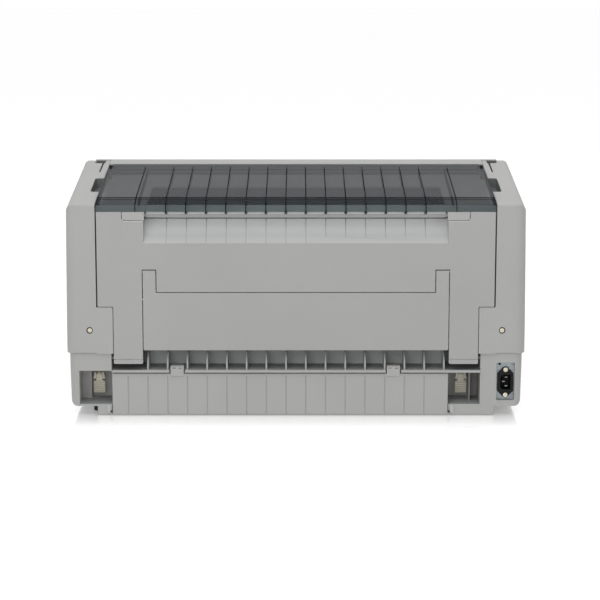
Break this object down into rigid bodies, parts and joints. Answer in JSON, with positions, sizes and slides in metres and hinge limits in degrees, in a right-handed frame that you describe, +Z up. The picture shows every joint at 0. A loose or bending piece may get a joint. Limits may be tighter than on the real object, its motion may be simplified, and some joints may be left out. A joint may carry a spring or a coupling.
{
  "type": "dot matrix printer",
  "caption": "Wide-carriage impact printer with hinged rear, exit and front covers, a ribbed rear paper entry, a geared platen and tractor feed, and a belt-driven print head.",
  "frame": {"origin": "middle of the footprint, on the surface it stands on", "axes": "+X to the right seen from the front, +Y to the rear, +Z up"},
  "size_m": [0.71, 0.382, 0.3637],
  "materials": {
    "case_grey": "fine matt texture",
    "cover_grey": "fine matt texture",
    "smoked": "clear smoked, smooth",
    "beige": "smooth",
    "black_plastic": "matt",
    "dark_rubber": "matt",
    "platen_rubber": "ground, matt",
    "sheet_steel": "zinc-plated sheet",
    "shaft_steel": "ground and polished",
    "bronze": "sintered bronze",
    "gear_plastic": "natural acetal",
    "brass": "turned",
    "motor_black": "satin black",
    "belt_rubber": "matt",
    "board_green": "solder mask",
    "screw_nickel": "nickel-plated",
    "head_metal": "die-cast",
    "pulley_metal": "turned",
    "panel_grey": "smooth",
    "display": "clear front",
    "button_grey": "smooth",
    "knob_blue": "smooth"
  },
  "bodies": {
    "case": {"lower_case": "case_grey", "upper_case": "case_grey", "rubber_feet": "dark_rubber", "case_screws": "screw_nickel", "exit_paper_guide": "case_grey", "rear_paper_guide": "case_grey", "front_paper_guide": "case_grey", "lever_brackets": "beige", "inlet_plate": "sheet_steel", "mains_inlet": "black_plastic", "base_plate": "sheet_steel", "side_frame_left": "sheet_steel", "side_frame_right": "sheet_steel", "guide_shafts": "shaft_steel", "shaft_bushes": "bronze", "frame_brackets": "sheet_steel", "feed_motor": "motor_black", "carriage_motor": "motor_black", "toothed_belt": "belt_rubber", "ribbon_cartridge": "black_plastic", "main_board": "board_green", "interface_sockets": "sheet_steel", "power_supply": "sheet_steel", "fan_housing": "black_plastic", "panel_bezel": "panel_grey", "panel_display": "display", "panel_board": "board_green", "switch_housing": "black_plastic"},
    "rear_cover": {"rear_cover": "cover_grey"},
    "rear_flap": {"rear_flap": "cover_grey"},
    "exit_cover": {"exit_cover": "smoked"},
    "front_cover": {"front_cover": "case_grey", "front_window": "smoked"},
    "front_lower_cover": {"front_lower_cover": "cover_grey"},
    "lower_rear_cover": {"lower_rear_cover": "case_grey"},
    "lock_lever_left": {"lock_lever_left": "beige"},
    "lock_lever_right": {"lock_lever_right": "beige"},
    "platen": {"platen_roller": "platen_rubber", "platen_shaft": "shaft_steel", "platen_gear": "gear_plastic"},
    "idler_gear": {"idler_gear": "gear_plastic"},
    "motor_pinion": {"motor_pinion": "brass"},
    "transfer_gear": {"transfer_gear": "gear_plastic"},
    "tractor_shaft": {"tractor_shaft": "shaft_steel", "tractor_gear": "gear_plastic"},
    "tractor_left": {"tractor_left": "black_plastic"},
    "tractor_right": {"tractor_right": "black_plastic"},
    "tractor_door_left": {"tractor_door_left": "panel_grey"},
    "tractor_door_right": {"tractor_door_right": "panel_grey"},
    "carriage": {"carriage": "black_plastic", "print_head": "head_metal"},
    "drive_pulley": {"drive_pulley": "pulley_metal"},
    "idler_pulley": {"idler_pulley": "pulley_metal"},
    "ribbon_knob": {"ribbon_knob": "knob_blue"},
    "fan_rotor": {"fan_rotor": "black_plastic"},
    "power_switch": {"power_switch": "black_plastic"},
    "button_pause": {"button_pause": "button_grey"},
    "button_load": {"button_load": "button_grey"},
    "button_feed": {"button_feed": "button_grey"},
    "button_tear": {"button_tear": "button_grey"}
  },
  "joints": [
    {"name": "rear_cover_hinge", "type": "hinge", "parent": "case", "child": "rear_cover", "pos_m": [0, 0.178, 0.089], "axis": [-1, 0, 0], "range_deg": [0, 70]},
    {"name": "rear_flap_hinge", "type": "hinge", "parent": "rear_cover", "child": "rear_flap", "pos_m": [0, 0.1888, 0.2268], "axis": [1, 0, 0], "range_deg": [0, 70]},
    {"name": "exit_cover_hinge", "type": "hinge", "parent": "case", "child": "exit_cover", "pos_m": [0, -0.055, 0.3504], "axis": [1, 0, 0], "range_deg": [0, 60]},
    {"name": "front_cover_hinge", "type": "hinge", "parent": "case", "child": "front_cover", "pos_m": [0, -0.028, 0.344], "axis": [-1, 0, 0], "range_deg": [0, 50]},
    {"name": "front_lower_cover_hinge", "type": "hinge", "parent": "case", "child": "front_lower_cover", "pos_m": [0, -0.1888, 0.1138], "axis": [1, 0, 0], "range_deg": [0, 80]},
    {"name": "lower_rear_cover_hinge", "type": "hinge", "parent": "case", "child": "lower_rear_cover", "pos_m": [0, 0.1865, 0.0045], "axis": [-1, 0, 0], "range_deg": [0, 50]},
    {"name": "lock_lever_left_pivot", "type": "hinge", "parent": "case", "child": "lock_lever_left", "pos_m": [-0.2593, 0.135, 0.052], "axis": [1, 0, 0], "range_deg": [0, 25], "stiffness_Nm_per_rad": 0.02},
    {"name": "lock_lever_right_pivot", "type": "hinge", "parent": "case", "child": "lock_lever_right", "pos_m": [0.3095, 0.135, 0.052], "axis": [1, 0, 0], "range_deg": [0, 25], "stiffness_Nm_per_rad": 0.02},
    {"name": "platen_spin", "type": "hinge", "parent": "case", "child": "platen", "pos_m": [0, 0.02, 0.285], "axis": [1, 0, 0], "continuous": true},
    {"name": "idler_spin", "type": "hinge", "parent": "case", "child": "idler_gear", "pos_m": [0.26, 0.042, 0.24689], "axis": [1, 0, 0], "continuous": true},
    {"name": "pinion_spin", "type": "hinge", "parent": "case", "child": "motor_pinion", "pos_m": [0.26, 0.024, 0.21572], "axis": [1, 0, 0], "continuous": true},
    {"name": "transfer_spin", "type": "hinge", "parent": "case", "child": "transfer_gear", "pos_m": [0.26, 0.08693, 0.22071], "axis": [1, 0, 0], "continuous": true},
    {"name": "tractor_shaft_spin", "type": "hinge", "parent": "case", "child": "tractor_shaft", "pos_m": [0, 0.119, 0.185], "axis": [1, 0, 0], "continuous": true},
    {"name": "tractor_left_slide", "type": "slide", "parent": "case", "child": "tractor_left", "axis": [1, 0, 0], "range_m": [-0.06, 0.04]},
    {"name": "tractor_right_slide", "type": "slide", "parent": "case", "child": "tractor_right", "axis": [1, 0, 0], "range_m": [-0.06, 0.04]},
    {"name": "tractor_door_left_hinge", "type": "hinge", "parent": "tractor_left", "child": "tractor_door_left", "pos_m": [-0.1635, 0.137, 0.163], "axis": [0, 0, 1], "range_deg": [0, 110]},
    {"name": "tractor_door_right_hinge", "type": "hinge", "parent": "tractor_right", "child": "tractor_door_right", "pos_m": [0.1635, 0.137, 0.163], "axis": [0, 0, -1], "range_deg": [0, 110]},
    {"name": "carriage_slide", "type": "slide", "parent": "case", "child": "carriage", "axis": [1, 0, 0], "range_m": [-0.16, 0.16]},
    {"name": "drive_pulley_spin", "type": "hinge", "parent": "case", "child": "drive_pulley", "pos_m": [-0.22, -0.072, 0.217], "axis": [0, 0, 1], "range_deg": [-1100, 1100]},
    {"name": "idler_pulley_spin", "type": "hinge", "parent": "case", "child": "idler_pulley", "pos_m": [0.22, -0.072, 0.217], "axis": [0, 0, 1], "range_deg": [-1100, 1100]},
    {"name": "ribbon_knob_spin", "type": "hinge", "parent": "case", "child": "ribbon_knob", "pos_m": [0.19, -0.088, 0.327], "axis": [0, 0, 1], "continuous": true},
    {"name": "fan_spin", "type": "hinge", "parent": "case", "child": "fan_rotor", "pos_m": [-0.3006, -0.09, 0.0526], "axis": [0, 1, 0], "continuous": true},
    {"name": "power_switch_rock", "type": "hinge", "parent": "case", "child": "power_switch", "pos_m": [-0.285, -0.184, 0.232], "axis": [1, 0, 0], "range_deg": [-8, 8]},
    {"name": "button_pause_press", "type": "slide", "parent": "case", "child": "button_pause", "axis": [0, 1, 0], "range_m": [0, 0.001], "stiffness_N_per_m": 300},
    {"name": "button_load_press", "type": "slide", "parent": "case", "child": "button_load", "axis": [0, 1, 0], "range_m": [0, 0.001], "stiffness_N_per_m": 300},
    {"name": "button_feed_press", "type": "slide", "parent": "case", "child": "button_feed", "axis": [0, 1, 0], "range_m": [0, 0.001], "stiffness_N_per_m": 300},
    {"name": "button_tear_press", "type": "slide", "parent": "case", "child": "button_tear", "axis": [0, 1, 0], "range_m": [0, 0.001], "stiffness_N_per_m": 300}
  ],
  "couplings": [
    {"joint": "idler_spin", "follows": "platen_spin", "ratio": -1.2},
    {"joint": "pinion_spin", "follows": "platen_spin", "ratio": 1.5},
    {"joint": "transfer_spin", "follows": "platen_spin", "ratio": 0.75},
    {"joint": "tractor_shaft_spin", "follows": "platen_spin", "ratio": -1.5},
    {"joint": "drive_pulley_spin", "follows": "carriage_slide", "rad_per_m": 115.61},
    {"joint": "idler_pulley_spin", "follows": "carriage_slide", "rad_per_m": 115.61}
  ]
}
